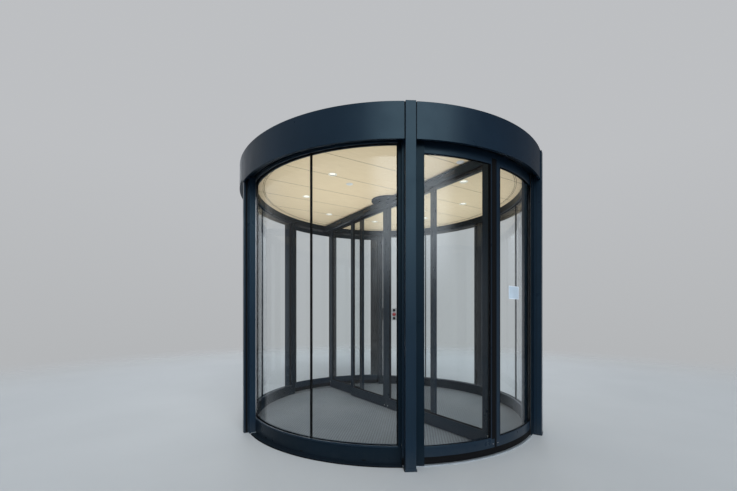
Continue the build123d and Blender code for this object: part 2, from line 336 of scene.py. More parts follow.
def paint_material(name, base, shine=0.21, dust=(0.16, 0.15, 0.13)):
    """Satin powder coat: fine orange peel, soft edges with a painted highlight on them, dust near
    the floor.
    """
    material, tree, shader, place = start_material(name, 0.32)
    shader.inputs["Specular IOR Level"].default_value = shine
    # Painted reflection: the blue specular tint colours the paint's reflections like a blue sky.
    shader.inputs["Specular Tint"].default_value = (0.60, 0.88, 1.0, 1)
    cloudy = shades(tree, noise(tree, place, 1.6),
                    (0.3, scaled(base, 0.88)), (0.7, scaled(base, 1.14)))
    height = add_node(tree, "SeparateXYZ", {"Vector": place}).outputs["Z"]
    low = spread(tree, height, 0.13, 0.0, 0.0, 0.20)
    patchy = number_math(tree, "MULTIPLY", low, noise(tree, place, 24.0, 5.0))
    dusty = blend_colours(tree, patchy, cloudy, (*dust, 1))
    soft = add_node(tree, "Bevel", {"Radius": 0.0016}, samples=4).outputs["Normal"]
    flat = add_node(tree, "NewGeometry").outputs["Normal"]
    turn = vector_math(tree, "DOT_PRODUCT", soft, flat)
    # Painted highlight: the soft edges are blended up to a third of the way towards a much lighter
    # copy of the base.
    edge = spread(tree, turn, 0.35, 0.0, 0.80, 0.995)
    dust_and_edge_highlight = blend_colours(tree, edge, dusty, (*scaled(base, 2.6), 1))
    peel = bump(tree, noise(tree, place, 620.0, 2.0), 0.10, 0.0004, soft)
    gloss = spread(tree, noise(tree, place, 6.0, 6.0), 0.27, 0.38)
    feed(tree, shader, colour=dust_and_edge_highlight, roughness=gloss, normal=peel)
    return material


def glass_material():
    """Clear float glass: see-through straight on, and mirror-like along the surface."""
    material, tree, shader, place = start_material("clear_glass", 0.0)
    tree.nodes.remove(shader)
    facing = add_node(tree, "LayerWeight", {"Blend": 0.5}).outputs["Facing"]
    grazing = number_math(tree, "POWER", facing, 5.0)
    mirror = number_math(tree, "ADD", number_math(tree, "MULTIPLY", grazing, 0.90), 0.016)
    wiped = spread(tree, noise(tree, place, 3.0, 6.0), 0.0, 0.035)
    through = add_node(tree, "BsdfTransparent", {"Color": (0.972, 0.982, 0.983, 1)}).outputs[0]
    reflecting = add_node(tree, "BsdfGlossy",
                          {"Color": (0.95, 0.97, 1, 1), "Roughness": wiped}).outputs[0]
    mixed = add_node(tree, "MixShader", {0: mirror, 1: through, 2: reflecting}).outputs[0]
    tree.links.new(mixed, tree.nodes["Material Output"].inputs["Surface"])
    return material


def floor_metal_material():
    """Anodised aluminium, brushed along the ring, with scuffs from shoes."""
    material, tree, shader, place = start_material("floor_metal", 0.42, metallic=0.55)
    parts = add_node(tree, "SeparateXYZ", {"Vector": place})
    level = add_node(tree, "CombineXYZ",
                     {"X": parts.outputs["X"], "Y": parts.outputs["Y"]}).outputs[0]
    radius = vector_math(tree, "LENGTH", level)
    line = add_node(tree, "CombineXYZ", {"X": radius, "Z": parts.outputs["Z"]}).outputs[0]
    brushed = noise(tree, line, 900.0, 2.0)
    scuffs = noise(tree, place, 18.0, 8.0)
    colour = shades(tree, scuffs, (0.30, (0.33, 0.36, 0.39)), (0.62, (0.44, 0.48, 0.52)))
    feed(tree, shader, colour=colour, roughness=spread(tree, scuffs, 0.46, 0.28),
         normal=bump(tree, brushed, 0.25, 0.0005))
    return material


def mat_material():
    """Entrance mat: woven pillows on the diagonal, fibres and trodden patches."""
    material, tree, shader, place = start_material("mat", 0.92)
    turned_place = add_node(tree, "Mapping",
                            {"Vector": place, "Rotation": (0, 0, radians(38))}).outputs[0]
    waves = []
    for way in ("X", "Y"):
        made = add_node(tree, "TexWave", {"Vector": turned_place, "Scale": 10.5, "Distortion": 0.8,
                                          "Detail": 2.0, "Detail Scale": 3.0}, bands_direction=way)
        waves.append(made.outputs["Fac"])
    pillows = number_math(tree, "MULTIPLY", *waves)
    fibres = noise(tree, place, 420.0, 3.0)
    trodden = noise(tree, place, 1.3, 3.0)
    weave = shades(tree, pillows, (0.0, (0.060, 0.072, 0.084)), (0.55, (0.172, 0.198, 0.226)))
    fibrous = blend_colours(tree, spread(tree, fibres, 0.0, 0.40), weave, (0.080, 0.090, 0.102, 1))
    colour = blend_colours(tree, spread(tree, trodden, 0.0, 0.30), fibrous, (0.25, 0.26, 0.265, 1))
    relief = number_math(tree, "ADD", pillows, number_math(tree, "MULTIPLY", fibres, 0.35))
    shader.inputs["Sheen Weight"].default_value = 0.15
    feed(tree, shader, colour=colour, normal=bump(tree, relief, 0.8, 0.0035))
    return material


def ceiling_material():
    """Matt beige panels with a faint grain."""
    material, tree, shader, place = start_material("ceiling_panel", 0.55)
    grain_place = add_node(tree, "Mapping", {"Vector": place, "Scale": (1.0, 16.0, 1.0)}).outputs[0]
    grain = noise(tree, grain_place, 5.0, 6.0)
    colour = shades(tree, grain, (0.25, (0.68, 0.54, 0.345)), (0.75, (0.77, 0.635, 0.43)))
    feed(tree, shader, colour=colour, normal=bump(tree, noise(tree, place, 260.0), 0.08, 0.0005))
    return material


def galvanised_material():
    """Zinc coated steel with its spangle."""
    material, tree, shader, place = start_material("bare_steel", 0.45, metallic=0.9)
    spangle = add_node(tree, "TexVoronoi", {"Vector": place, "Scale": 70.0}).outputs["Distance"]
    colour = shades(tree, spangle, (0.0, (0.38, 0.40, 0.41)), (0.7, (0.60, 0.61, 0.62)))
    feed(tree, shader, colour=colour, roughness=spread(tree, spangle, 0.34, 0.55, 0.0, 0.8))
    return material


def stainless_material():
    """Stainless steel of locks and screws, finely mottled."""
    material, tree, shader, place = start_material("stainless", 0.28, metallic=1.0)
    mottled = noise(tree, place, 500.0, 2.0)
    colour = shades(tree, mottled, (0.2, (0.50, 0.50, 0.49)), (0.8, (0.72, 0.72, 0.70)))
    feed(tree, shader, colour=colour, roughness=spread(tree, mottled, 0.20, 0.36))
    return material


def brush_material():
    """Bristles of the sealing brushes."""
    material, tree, shader, place = start_material("brush", 0.85)
    stretched = add_node(tree, "Mapping", {"Vector": place, "Scale": (1, 1, 4)}).outputs[0]
    bristles = noise(tree, stretched, 700.0)
    colour = shades(tree, bristles, (0.35, (0.008, 0.008, 0.009)), (0.65, (0.045, 0.045, 0.048)))
    shader.inputs["Sheen Weight"].default_value = 0.1
    feed(tree, shader, colour=colour, normal=bump(tree, bristles, 0.7, 0.001))
    return material


def plain_material(name, base, roughness, grain=300.0, relief=0.06, shine=0.5):
    """Moulded rubber or plastic: a slight grain, and gloss that varies a little."""
    material, tree, shader, place = start_material(name, roughness)
    shader.inputs["Specular IOR Level"].default_value = shine
    cloudy = noise(tree, place, 7.0, 5.0)
    colour = shades(tree, cloudy, (0.3, scaled(base, 0.86)), (0.7, scaled(base, 1.12)))
    gloss = spread(tree, cloudy, roughness * 0.85, roughness * 1.15)
    feed(tree, shader, colour=colour, roughness=gloss,
         normal=bump(tree, noise(tree, place, grain, 2.0), relief, 0.0004))
    return material


def lamp_material():
    """Frosted lens that is lit, with faint clouds in it."""
    material, tree, shader, place = start_material("lamp_lens", 0.4)
    cloudy = shades(tree, noise(tree, place, 90.0),
                    (0.3, (0.90, 0.84, 0.70)), (0.7, (1.0, 0.95, 0.84)))
    feed(tree, shader, colour=cloudy)
    tree.links.new(cloudy, shader.inputs["Emission Color"])
    shader.inputs["Emission Strength"].default_value = 1.2
    return material


paint = paint_material("frame_paint", (0.0052, 0.0125, 0.0240))
# Darker, duller copy of the frame paint, used as painted shade.
shade_darkened_paint = paint_material("shade_darkened_paint", (0.0030, 0.0078, 0.0140),
                            shine=0.09, dust=(0.07, 0.07, 0.065))
glass = glass_material()
floor_metal = floor_metal_material()
mat_weave = mat_material()
ceiling_panel = ceiling_material()
galvanised = galvanised_material()
stainless = stainless_material()
bristle = brush_material()
rubber = plain_material("seal", (0.0032, 0.0032, 0.0038), 0.65, shine=0.07)
black_plastic = plain_material("sensor_black", (0.007, 0.007, 0.008), 0.18,
                               grain=120.0, relief=0.02, shine=0.3)
pale_plastic = plain_material("pale_plastic", (0.62, 0.63, 0.62), 0.38)
box_plastic = plain_material("box_plastic", (0.46, 0.49, 0.50), 0.42)
grey_plastic = plain_material("grey_plastic", (0.25, 0.26, 0.262), 0.42)
# Both sign colours are a white plate with a painted blue cast of sky light.
sky_tinted_sign = plain_material("sky_tinted_sign", (0.42, 0.50, 0.58), 0.45)
sign_edge = plain_material("sign_edge", (0.64, 0.70, 0.78), 0.40)
lamp_trim = plain_material("lamp_trim", (0.80, 0.78, 0.72), 0.32)
red_plastic = plain_material("red_plastic", (0.22, 0.014, 0.014), 0.30)
lamp_lens = lamp_material()

slot_materials = {
    "frame_paint": paint, "clear_glass": glass, "floor_metal": floor_metal, "mat": mat_weave,
    "ceiling_panel": ceiling_panel, "lamp_trim": lamp_trim, "bare_steel": galvanised,
    "brush": bristle, "seal": rubber,
}
for part in frame["record"]["subparts"]:
    for material_slot in frame["nodes"][part["node"]].material_slots:
        material_slot.material = slot_materials[part["material_slot"]]
# Painted shade: the jambs, plinths, end stiles, head ring and soffit take the darker, duller copy
# of the frame paint.
shaded_nodes = ("door_jambs", "plinth_left", "plinth_right", "wall_end_stiles", "head_ring",
                "soffit_ring")
for node in shaded_nodes:
    for material_slot in frame["nodes"][node].material_slots:
        material_slot.material = shade_darkened_paint


# Small parts that several places share

def gasket_outline(face, way, edge, up):
    """Wedge gasket against glass: on a face, standing out one way, from an edge up or down."""
    return [(face, edge), (face + way * gasket_width, edge),
            (face + way * gasket_width, edge + up * gasket_height * 0.55),
            (face + way * gasket_width * 0.3, edge + up * gasket_height),
            (face, edge + up * gasket_height)]


def curved_gaskets(bm, middle_radius, start, end, low, high, at_start=True, at_end=True):
    """Gaskets along a curved pane, on both of its faces; an end without one meets the next pane."""
    for way in (-1, 1):
        face = middle_radius + way * half_glass
        sweep(bm, gasket_outline(face, way, low, 1), start, end)
        sweep(bm, gasket_outline(face, way, high, -1), start, end)
        side = reach(face, way, 0, gasket_width)
        strip = block(side, (low + gasket_height, high - gasket_height))
        width = degrees(side_gasket / middle_radius)
        for near in [start] * at_start + [end - width] * at_end:
            sweep(bm, strip, near, near + width)


def flat_gaskets(bm, place, x_span, z_span):
    """Gaskets round one flat pane that is centred on y = 0 of a placement."""
    for way in (-1, 1):
        wedge = gasket_outline(way * half_glass, way, 0, 1)
        rim(bm, place, x_span, z_span, [(inset, rise) for rise, inset in wedge])


def screw(bm, place, radius=screw_radius):
    """Pan head screw with a round socket."""
    height = radius * 0.45
    lathe(bm, [(0, height * 0.25), (radius * 0.42, height * 0.25), (radius * 0.48, height),
               (radius * 0.78, height), (radius, height * 0.5), (radius, 0), (0, 0)], place, 16)


def lock(bm, place, radius=0.011):
    """Lock cylinder in its rosette, with a groove between them."""
    lathe(bm, [(0, 0.0035), (radius * 0.58, 0.0035), (radius * 0.62, 0.0028),
               (radius * 0.68, 0.0045), (radius * 0.92, 0.0040), (radius, 0.0018),
               (radius, 0), (0, 0)], place, 28)


# Curved walls

def wall_seals():
    """Gaskets round each pane of both walls."""
    edges = [(-pane_end, -glass_joint - half_joint), (-glass_joint + half_joint, -half_joint),
             (half_joint, glass_joint - half_joint), (glass_joint + half_joint, pane_end)]
    for name, middle in (("left", left), ("right", right)):
        def build(bm):
            for near, far in edges:
                curved_gaskets(bm, wall_glass_middle, middle + near, middle + far,
                               plinth_top, soffit, near == -pane_end, far == pane_end)
        make_piece(f"wall_gaskets_{name}", "drum", rubber, build)


def wall_beads():
    """Clip-on beads along the plinths and under the head ring, on both sides of the glass."""
    soft = 0.003
    room = half_glass + gasket_width + 0.001
    inner_bead = (wall_inner + soft, wall_glass_middle - room)
    outer_bead = (wall_glass_middle + room, wall_outer - soft)
    for name, middle in (("left", left), ("right", right)):
        def build(bm):
            for low_edge, way in ((plinth_top, 1), (soffit, -1)):
                side_edge = low_edge + way * (bead_height - soft)
                crest = low_edge + way * bead_height
                for near, far in (inner_bead, outer_bead):
                    outline = [(near, low_edge), (far, low_edge), (far, side_edge),
                               (far - soft, crest), (near + soft, crest), (near, side_edge)]
                    sweep(bm, outline, middle - pane_end, middle + pane_end)
        make_piece(f"wall_beads_{name}", "drum", paint, build)


def wall_fittings():
    """Weep caps of the plinths, and the bolts and screws of the end stiles."""
    def caps(bm):
        for middle in (left, right):
            for offset in (-50, -30, -12, 12, 30, 50):
                place = facing_out(middle + offset, wall_outer, 0.030)
                prism(bm, rounded(0.034, 0.009, 0.0042), place, 0.0025)
    make_piece("weep_caps", "drum", rubber, caps)

    def bolts(bm):
        for middle in (left, right):
            for side in (-1, 1):
                bearing = middle + side * (wall_end - 1.1)
                lock(bm, facing_out(bearing, wall_outer, plinth_top + 0.025), 0.008)
                for height in (0.95, 1.95, 2.80):
                    screw(bm, facing_out(bearing, wall_outer, height))
    make_piece("wall_end_bolts", "drum", stainless, bolts)


def sign():
    """Blank plate on the outside of the right front door's glass."""
    body = "curved_front_right"
    start, end, low, high = front + 6.7, front + 13.0, 1.520, 1.652
    thickness = 0.0012
    face = door_middle + half_glass
    edge = 0.006

    def build(bm):
        sweep(bm, block((face, face + thickness), (low, high)), start, end)

    def border(bm):
        turn = degrees(edge / face)
        strips = (((start, end), (low, low + edge)), ((start, end), (high - edge, high)),
                  ((start, start + turn), (low, high)), ((end - turn, end), (low, high)))
        for span, heights in strips:
            sweep(bm, block((face + thickness, face + thickness * 1.5), heights), *span)
    make_piece("blank_sign", body, sky_tinted_sign, build)
    make_piece("blank_sign_border", body, sign_edge, border)


# Floor

def floor_fittings():
    """Sealant, mat edge, guide slots, screws, base covers and joints of the floor ring."""
    facade_edge = 3.2
    foot_edge = 90 - (post_bearing + 1.75)

    def wall_side(bm, outline):
        for middle in (left, right):
            for side in (-1, 1):
                sweep(bm, outline, *reach(middle, side, facade_edge, foot_edge))

    def seals(bm):
        wall_side(bm, [(post_inner, 0.0), (post_inner + 0.009, 0.0), (post_inner + 0.006, 0.004),
                       (post_inner, 0.007)])
        mat_edge = [(wall_inner - 0.008, floor_top), (wall_inner, floor_top),
                    (wall_inner, floor_top + seal_rise),
                    (wall_inner - 0.006, floor_top + seal_rise)]
        sweep(bm, mat_edge, 0, 360)
        guide_slot = block((door_middle - 0.006, door_middle + 0.006),
                           (floor_top, floor_top + 0.0004))
        for middle in (front, back):
            sweep(bm, guide_slot, middle - door_end, middle + door_end)
    make_piece("floor_seals", "drum", rubber, seals)

    def screws(bm):
        flat_head = [(0, 0.0001), (0.002, 0.0001), (0.0024, 0.0006), (0.006, 0.0006),
                     (0.0065, 0), (0, 0)]
        for middle in (front, back):
            for offset in (-22, -11, 0, 11, 22):
                for radius in (ring_inner_edge + 0.014, ring_inner_edge + 0.050):
                    lathe(bm, flat_head, facing_up(middle + offset, radius, floor_top), 16)
    make_piece("floor_ring_screws", "drum", stainless, screws)

    def covers(bm):
        rise = 0.0004
        wall_side(bm, [(wall_outer, floor_top), (post_inner, floor_top), (post_inner, 0),
                       (post_inner + rise, 0), (post_inner + rise, floor_top + rise),
                       (wall_outer, floor_top + rise)])
    make_piece("base_covers", "drum", shade_darkened_paint, covers)

    def joints(bm):
        line = block((wall_inner + 0.001, post_inner - 0.001), (-0.0008, 0.0008))
        for middle in (front, back):
            for offset in (16.5, -16.5):
                prism(bm, line, facing_up(middle + offset, 0, floor_top), 0.0003)
    make_piece("floor_ring_joints", "drum", rubber, joints)


# Posts

def post_fittings():
    """Sealant and screws at each foot, and dark strips that paint the shaded seam between a post's
    cover and its core.
    """
    foot = 0.006

    def sealant(bm):
        for bearing in post_bearings:
            along_post = facing_out(bearing, post_inner, 0)
            for way in (-1, 1):
                y = way * (half_post + foot)
                fillet = [(y, 0), (y, 0.005), (y + way * 0.004, 0)]
                prism(bm, fillet, along_post, post_outer - post_inner)
    make_piece("post_sealant", "drum", rubber, sealant)

    def screws(bm):
        for bearing in post_bearings:
            for shift in (-0.034, 0.034):
                screw(bm, facing_out(bearing, post_outer, 0.0095, shift), 0.0042)
    make_piece("post_foot_screws", "drum", stainless, screws)

    # Painted shade: thin dark strips stand in for the shaded groove of each seam.
    def covers(bm):
        seam, width, rise = post_inner + 0.030, 0.0025, 0.0003
        for bearing in post_bearings:
            place = facing_up(bearing, 0, 0.020)
            for way in (-1, 1):
                outline = block((seam, seam + width), reach(0, way, half_post, half_post + rise))
                prism(bm, outline, place, fascia_low - 0.022)
    make_piece("post_cover_joints", "drum", rubber, covers)


def controls(prefix, plastic, place, width, height, depth, spacing, size):
    """Stop button between two key switches on a surface box; z of the placement points out."""
    lid, inset = 0.004, 0.005
    face = place @ Matrix.Translation((0, 0, depth))

    def box(bm):
        prism(bm, rounded(width, height, 0.006, 5), place, depth - lid)
        prism(bm, rounded(width - inset, height - inset, 0.005, 5),
              place @ Matrix.Translation((0, 0, depth - lid)), lid)
    make_piece(f"{prefix}_box", "drum", plastic, box)

    def button(bm):
        mushroom = ((0, 0.54), (0.55, 0.52), (0.92, 0.44), (1, 0.34), (0.92, 0.20), (0.62, 0.16),
                    (0.62, 0), (0, 0))
        lathe(bm, [(radius * size, rise * size) for radius, rise in mushroom], face, 32)
    make_piece(f"{prefix}_stop_button", "drum", red_plastic, button)

    def switches(bm):
        for rise in (spacing, -spacing):
            lock(bm, face @ Matrix.Translation((0, rise, 0)), size * 0.8)
    make_piece(f"{prefix}_key_switches", "drum", black_plastic, switches)


def control_boxes():
    """Controls beside a back post, facing the lobby, and on the left wall's glass, facing out."""
    middle, side = corners["back_right"]
    wide = 0.100
    beside_post = facing_out(middle + side * post_bearing, post_inner + 0.006, 1.385,
                             -half_post - wide / 2)
    controls("inside", box_plastic, beside_post, wide,
             height=0.236, depth=0.055, spacing=0.068, size=0.020)
    face = wall_glass_middle + half_glass - 0.0002
    narrow = 0.047
    gasket_room = side_gasket + narrow / 2 + 0.001
    on_glass = facing_out(left + pane_end - degrees(gasket_room / face), face, 1.364)
    controls("outside", grey_plastic, on_glass, narrow,
             height=0.110, depth=0.011, spacing=0.036, size=0.0155)


# Curved closing doors

def curved_door_fittings(name, middle, side):
    """Gaskets, seals, screws, nosing, aprons and beads of one curved door."""
    body = f"curved_{name}"
    low, high = (corner.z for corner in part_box(f"curved_door_{name}_glass"))
    top_rail = high + 0.045

    def span(near, far):
        return reach(middle, side, near, far)

    pane = span(door_start + door_stile_angle, door_end - door_stile_angle)
    faces = [reach(door_middle, way, half_door, half_door + rubber_skin) for way in (-1, 1)]

    def gaskets(bm):
        curved_gaskets(bm, door_middle, *pane, low, high)
    make_piece(f"{body}_gaskets", body, rubber, gaskets)

    def meeting_seal(bm):
        gap = degrees(rubber_skin / door_middle)
        heights = (door_low + 0.051, soffit - 0.016)
        for near in (-0.011, 0.0, 0.011):
            fin = (door_middle + near - 0.002, door_middle + near + 0.002)
            sweep(bm, block(fin, heights), *span(door_start - gap, door_start))
    make_piece(f"{body}_meeting_seal", body, rubber, meeting_seal)

    def floor_brush(bm):
        sweep(bm, block((door_middle - 0.004, door_middle + 0.004), (floor_top + 0.0006, door_low)),
              *span(door_start + 0.02, door_end - 0.02))
    make_piece(f"{body}_floor_brush", body, bristle, floor_brush)

    def screws(bm):
        for near in (door_start + 0.95, door_end - 0.95):
            screw(bm, facing_out(middle + side * near, door_middle + half_door, 0.112), 0.004)
    make_piece(f"{body}_screws", body, stainless, screws)

    def nosing(bm):
        narrow = degrees(0.011 / door_middle)
        wide = degrees(0.050 / door_middle)
        for radii in faces:
            skirt = block(radii, (apron_top + 0.0005, low))
            sweep(bm, skirt, *span(door_start, door_start + narrow))
            strip = wide if side < 0 else narrow
            sweep(bm, block(radii, (low, top_rail)), *span(door_start, door_start + strip))
    make_piece(f"{body}_nosing", body, rubber, nosing)

    def aprons(bm):
        for radii in faces:
            sweep(bm, block(radii, (door_low + 0.001, apron_top)), *span(door_start, door_end))
    make_piece(f"{body}_aprons", body, rubber, aprons)

    def rail_beads(bm):
        height, soft = 0.0138, 0.003
        for way in (-1, 1):
            near = door_middle + way * (half_glass + gasket_width + 0.0004)
            far = door_middle + way * half_door
            for edge, up in ((low, 1), (high, -1)):
                outline = [(near, edge), (far, edge), (far, edge + up * (height - soft)),
                           (near, edge + up * height)]
                sweep(bm, outline, *pane)
    make_piece(f"{body}_beads", body, paint, rail_beads)


def jamb_brushes():
    """Brush piles between the jambs and the curved doors."""
    def build(bm):
        door_face = door_middle + half_door
        pile = block((door_face + 0.0016, jamb_inner + 0.0037), (floor_top + 0.001, soffit))
        half_width = degrees(0.008 / jamb_inner) / 2
        for middle, side in corners.values():
            bearing = middle + side * (post_bearing - 3.72)
            sweep(bm, pile, bearing - half_width, bearing + half_width)
    make_piece("jamb_brushes", "drum", bristle, build)


def opening_sensors():
    """Presence sensors under the canopy, outside and inside."""
    def build(bm):
        near, far = 1.936, 1.986
        outline = [(near, soffit), (far, soffit), (far, soffit - 0.016),
                   (far - 0.014, soffit - 0.034), (near + 0.008, soffit - 0.034),
                   (near, soffit - 0.026)]
        for middle in (front, back):
            sweep(bm, outline, middle - 4.2, middle + 4.2)
    make_piece("opening_sensors", "drum", black_plastic, build)


# Rotor

def on_side(place, along, way, out, height):
    """Placement on one side of an upright panel: z points away from it."""
    turn = Matrix.Rotation(radians(-90 * way), 4, "X")
    return place @ Matrix.Translation((along, way * out, height)) @ turn


def wing_fittings(name, bearing):
    """Gaskets, brush holders, side brushes, screws and locks of one fixed wing."""
    place = turned(bearing) @ Matrix.Translation((0, wing_offset, 0))

    def gaskets(bm):
        flat_gaskets(bm, place, wing_pane, (pane_low, header_low))
    make_piece(f"wing_{name}_gaskets", "rotor", rubber, gaskets)

    def holders(bm):
        foot = place @ Matrix.Translation((0, 0, wing_low))
        along = (rotor_radius - 0.001, rotor_radius + 0.0022)
        for way in (-1, 1):
            prism(bm, block(along, reach(0, way, 0.0052, 0.0085)), foot, header_low - wing_low)
    make_piece(f"wing_{name}_brush_holder", "rotor", floor_metal, holders)

    def side_brush(bm):
        y = (half_wing, half_wing + 0.0085)
        foot = place @ Matrix.Translation((0, 0, wing_low + 0.01))
        for along in (wing_start + 0.008, wing_start + 0.056):
            prism(bm, block((along, along + 0.005), y), foot, header_low - wing_low - 0.012)
    make_piece(f"wing_{name}_side_brush", "rotor", bristle, side_brush)

    def screws(bm):
        for way in (-1, 1):
            for along in (wing_start + 0.033, rotor_radius - 0.048):
                screw(bm, on_side(place, along, way, half_wing, pane_low - 0.066), 0.0045)
            lock(bm, on_side(place, rotor_radius - 0.026, way, half_wing, lock_height))
    make_piece(f"wing_{name}_screws", "rotor", stainless, screws)


def leaf_fittings(name, bearing):
    """Gaskets, meeting seal, floor brush and lock of one sliding leaf."""
    body = f"leaf_{name}"
    place = turned(bearing)

    def gaskets(bm):
        flat_gaskets(bm, place, leaf_pane, (pane_low, header_low))
    make_piece(f"{body}_gaskets", body, rubber, gaskets)

    def meeting_seal(bm):
        foot = place @ Matrix.Translation((0, 0, wing_low + 0.002))
        for y in (-0.012, 0.0, 0.012):
            fin = block((leaf_span[0] - 0.0026, leaf_span[0]), (y - 0.0025, y + 0.0025))
            prism(bm, fin, foot, header_low - wing_low - 0.004)
    make_piece(f"{body}_meeting_seal", body, rubber, meeting_seal)

    def floor_brush(bm):
        room = 0.004
        pile = block((leaf_span[0] + 0.002, leaf_span[1] - 0.002), (-0.004, 0.004))
        foot = place @ Matrix.Translation((0, 0, floor_top + room))
        prism(bm, pile, foot, wing_low - floor_top - room)
    make_piece(f"{body}_floor_brush", body, bristle, floor_brush)

    def locks(bm):
        for way in (-1, 1):
            lock(bm, on_side(place, leaf_span[0] + 0.034, way, half_leaf, wing_low + 0.030), 0.009)
    make_piece(f"{body}_lock", body, stainless, locks)


def header_fittings():
    """Presence sensors and end caps of the header, and the screws of its disc."""
    place = turned(back + rotor_turn)
    screw_ring = disc_radius - 0.022

    def sensors(bm):
        for way in (-1, 1):
            flip = Matrix.Scale(way, 4, (0, 1, 0))
            spot = place @ Matrix.Translation((0, way * half_header, header_low + 0.024)) @ flip
            for along in (-1.25, -0.42, 0.42, 1.25):
                outline = [(along - 0.085, 0), (along + 0.085, 0), (along + 0.075, 0.012),
                           (along - 0.075, 0.012)]
                prism(bm, outline, spot, 0.036)
    make_piece("header_sensors", "rotor", black_plastic, sensors)

    def caps(bm):
        middle = (header_low + header_top) / 2
        outline = rounded(2 * half_header, header_top - header_low, 0.003)
        for way in (-1, 1):
            spot = place @ Matrix.Translation((way * rotor_radius, 0, middle))
            across = Matrix(((0, 0, way, 0), (1, 0, 0, 0), (0, 1, 0, 0), (0, 0, 0, 1)))
            prism(bm, outline, spot @ across, 0.002)
    make_piece("header_end_caps", "rotor", rubber, caps)

    def screws(bm):
        for i in range(16):
            bearing = 360 * (i + 0.5) / 16 + rotor_turn
            if abs(sin(radians(bearing - back - rotor_turn))) * screw_ring > half_header + 0.01:
                screw(bm, facing_down(bearing, screw_ring, header_top), 0.005)
    make_piece("disc_screws", "rotor", stainless, screws)


# Canopy

def ceiling_fittings():
    """Recessed lamps, panel seams, groove rings and sensors of the ceiling."""
    lamps = [facing_down(360 * (i + 0.5) / lamp_count, lamp_ring, ceiling_low)
             for i in range(lamp_count)]

    def trims(bm):
        trim = [(0, -0.0100), (0.034, -0.0100), (0.0405, 0.0008), (0.0425, 0.0026),
                (0.0500, 0.0020), (0.0525, 0.0), (0.0445, 0.0), (0.0440, -0.0115), (0, -0.0115)]
        for place in lamps:
            lathe(bm, trim, place, 40)
    piece = make_piece("lamp_trims", "drum", lamp_trim, trims)
    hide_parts("downlights")

    def lenses(bm):
        lens = [(0, -0.0062), (0.018, -0.0066), (0.0325, -0.0088), (0.0340, -0.0099), (0, -0.0099)]
        for place in lamps:
            lathe(bm, lens, place, 32)
    make_piece("lamp_lenses", "drum", lamp_lens, lenses)

    def seams(bm):
        width, drop = 0.004, 0.0006
        spacing = 0.49
        edge = wall_inner - 0.012
        for i in range(-3, 4):
            y = i * spacing + 0.08
            half = (edge ** 2 - y ** 2) ** 0.5
            place = Matrix.Translation((0, y, ceiling_low - drop))
            prism(bm, block((-half, half), (-width / 2, width / 2)), place, drop)
        heights = (ceiling_low - drop * 1.5, ceiling_low)
        for radius in (ceiling_groove, ceiling_groove + 0.018):
            sweep(bm, block((radius, radius + width), heights), 0, 360)
    make_piece("ceiling_seams", "drum", rubber, seams)

    def sensors(bm):
        dome = [(0, 0.0085), (0.020, 0.0080), (0.034, 0.0055), (0.040, 0.0030), (0.044, 0), (0, 0)]
        for bearing, radius in ((front, 1.44), (back, 1.44), (200, 0.80), (20, 0.80)):
            lathe(bm, dome, facing_down(bearing, radius, ceiling_low), 32)
    make_piece("ceiling_sensors", "drum", pale_plastic, sensors)


def canopy_seals():
    """Dark strips in the joints of the fascia, and the folded lips along its edges."""
    strip_inner = fascia_inner - 0.003
    strip_top = drum_top - 0.002
    post_edge = degrees(half_post / drum_radius)
    gap = degrees((half_post + 0.008) / drum_radius)

    def strips(bm):
        half = degrees(0.0020 / drum_radius)
        for bearing in (left, right):
            strip = block((strip_inner, drum_radius - 0.003), (inside_fascia_low, strip_top))
            sweep(bm, strip, bearing - half, bearing + half)
        for middle, side in corners.values():
            low = fascia_low if middle == front else inside_fascia_low
            strip = block((strip_inner, drum_radius - 0.004), (low, strip_top))
            for way in (-1, 1):
                sweep(bm, strip, *reach(middle + side * post_bearing, way, post_edge, gap))
    make_piece("fascia_joint_strips", "drum", rubber, strips)

    outside = ((front - post_bearing + gap, front + post_bearing - gap),
               (front + post_bearing + gap, 0), (-180, front - post_bearing - gap))
    inside = ((0, back - post_bearing - gap),
              (back - post_bearing + gap, back + post_bearing - gap),
              (back + post_bearing + gap, 180))
    lower_lip, upper_lip, sheet = 0.016, 0.020, 0.002

    def lips(bm):
        upper = block((fascia_inner - upper_lip, fascia_inner), (drum_top - sheet, drum_top))
        for spans, low in ((outside, fascia_low), (inside, inside_fascia_low)):
            lower = block((fascia_inner - lower_lip, fascia_inner), (low, low + sheet))
            for start, end in spans:
                sweep(bm, lower, start, end)
                sweep(bm, upper, start, end)
    make_piece("fascia_lips", "drum", paint, lips)


